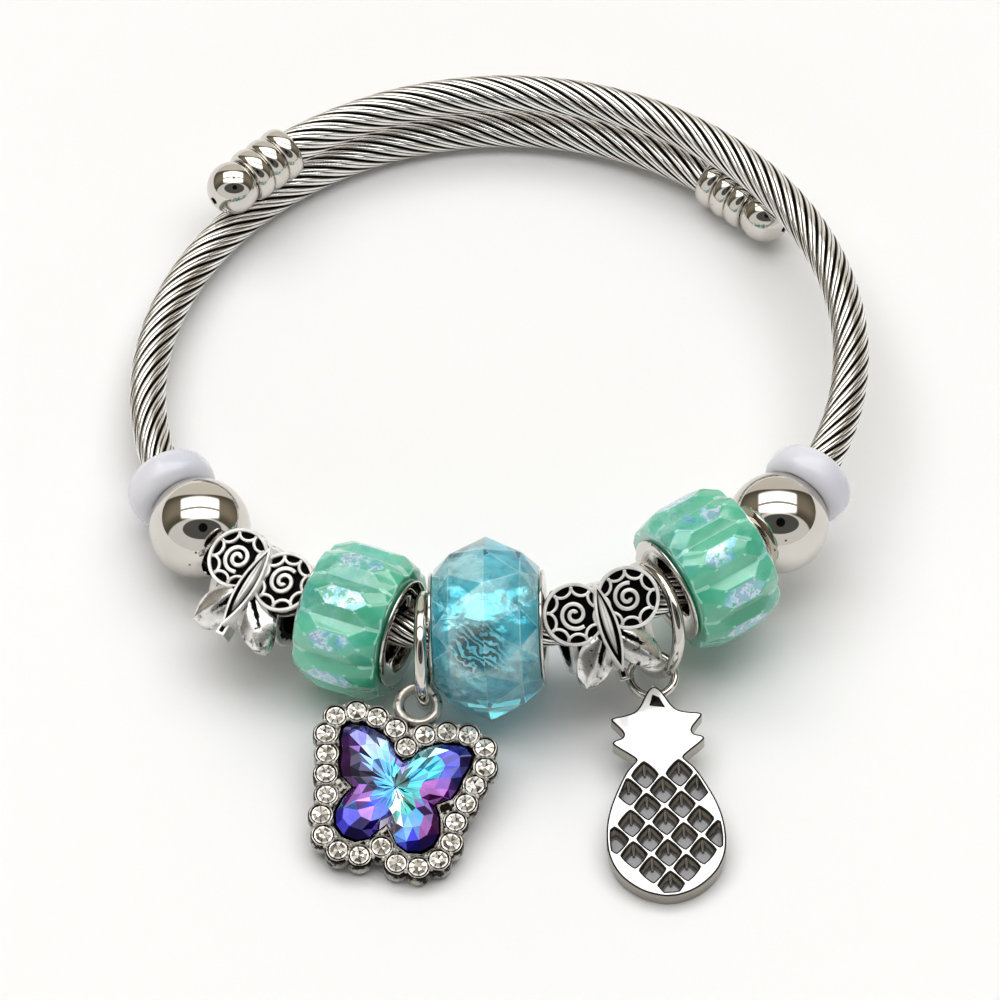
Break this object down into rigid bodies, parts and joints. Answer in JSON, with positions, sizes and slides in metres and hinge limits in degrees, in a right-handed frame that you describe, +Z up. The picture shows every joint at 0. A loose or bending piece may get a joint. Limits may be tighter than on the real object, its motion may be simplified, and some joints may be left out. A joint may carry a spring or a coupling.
{
  "type": "charm bangle",
  "caption": "Expandable charm bangle of twisted steel cable with ball ends, resin beads, butterfly spacers, steel balls, soft stoppers, a crystal butterfly charm and a pineapple charm.",
  "frame": {"origin": "middle of the bounding box in plan, on the surface the bangle lies on", "axes": "+X to the right of the charms seen from the charm side, +Y across the wrist away from the charms, +Z up along the wrist, away from the surface"},
  "size_m": [0.0642, 0.0848, 0.0158],
  "materials": {
    "twisted_steel": "bright wires twisted to a rope, dark between them",
    "polished_steel": "mirror polished",
    "antique_silver": "cast silver finish, dark in the recesses",
    "white_silver": "bright rhodium-like finish, grey in the pits",
    "silver_foil": "crinkled foil",
    "milky_rubber": "translucent, milky, slightly blue",
    "mint_resin": "mint resin with an iridescent film on some facets",
    "blue_resin": "clear aqua, cut facets",
    "violet_crystal": "cut crystal, blue to violet with a foil back",
    "clear_crystal": "clear cut stones with a foil back"
  },
  "bodies": {
    "root": {"cable": "twisted_steel", "end_ball_left": "polished_steel", "end_ball_right": "polished_steel", "end_rings_left": "polished_steel", "end_rings_right": "polished_steel", "stopper_left": "milky_rubber", "stopper_right": "milky_rubber", "steel_ball_left": "polished_steel", "steel_ball_right": "polished_steel", "green_bead_left": "mint_resin", "green_bead_right": "mint_resin", "green_core_left": "polished_steel", "green_core_right": "polished_steel", "butterfly_bead_left": "antique_silver", "butterfly_bead_right": "antique_silver", "blue_bead": "blue_resin", "blue_foil": "silver_foil", "blue_core": "polished_steel", "hanger_ring_butterfly": "polished_steel", "hanger_ring_pineapple": "polished_steel", "butterfly_charm": "antique_silver", "butterfly_crystal": "violet_crystal", "stone_01": "clear_crystal", "stone_02": "clear_crystal", "stone_03": "clear_crystal", "stone_04": "clear_crystal", "stone_05": "clear_crystal", "stone_06": "clear_crystal", "stone_07": "clear_crystal", "stone_08": "clear_crystal", "stone_09": "clear_crystal", "stone_10": "clear_crystal", "stone_11": "clear_crystal", "stone_12": "clear_crystal", "stone_13": "clear_crystal", "stone_14": "clear_crystal", "stone_15": "clear_crystal", "stone_16": "clear_crystal", "stone_17": "clear_crystal", "stone_18": "clear_crystal", "stone_19": "clear_crystal", "stone_20": "clear_crystal", "stone_21": "clear_crystal", "stone_22": "clear_crystal", "stone_23": "clear_crystal", "stone_24": "clear_crystal", "stone_25": "clear_crystal", "stone_26": "clear_crystal", "pineapple_charm": "white_silver", "jump_ring": "polished_steel"}
  },
  "joints": []
}
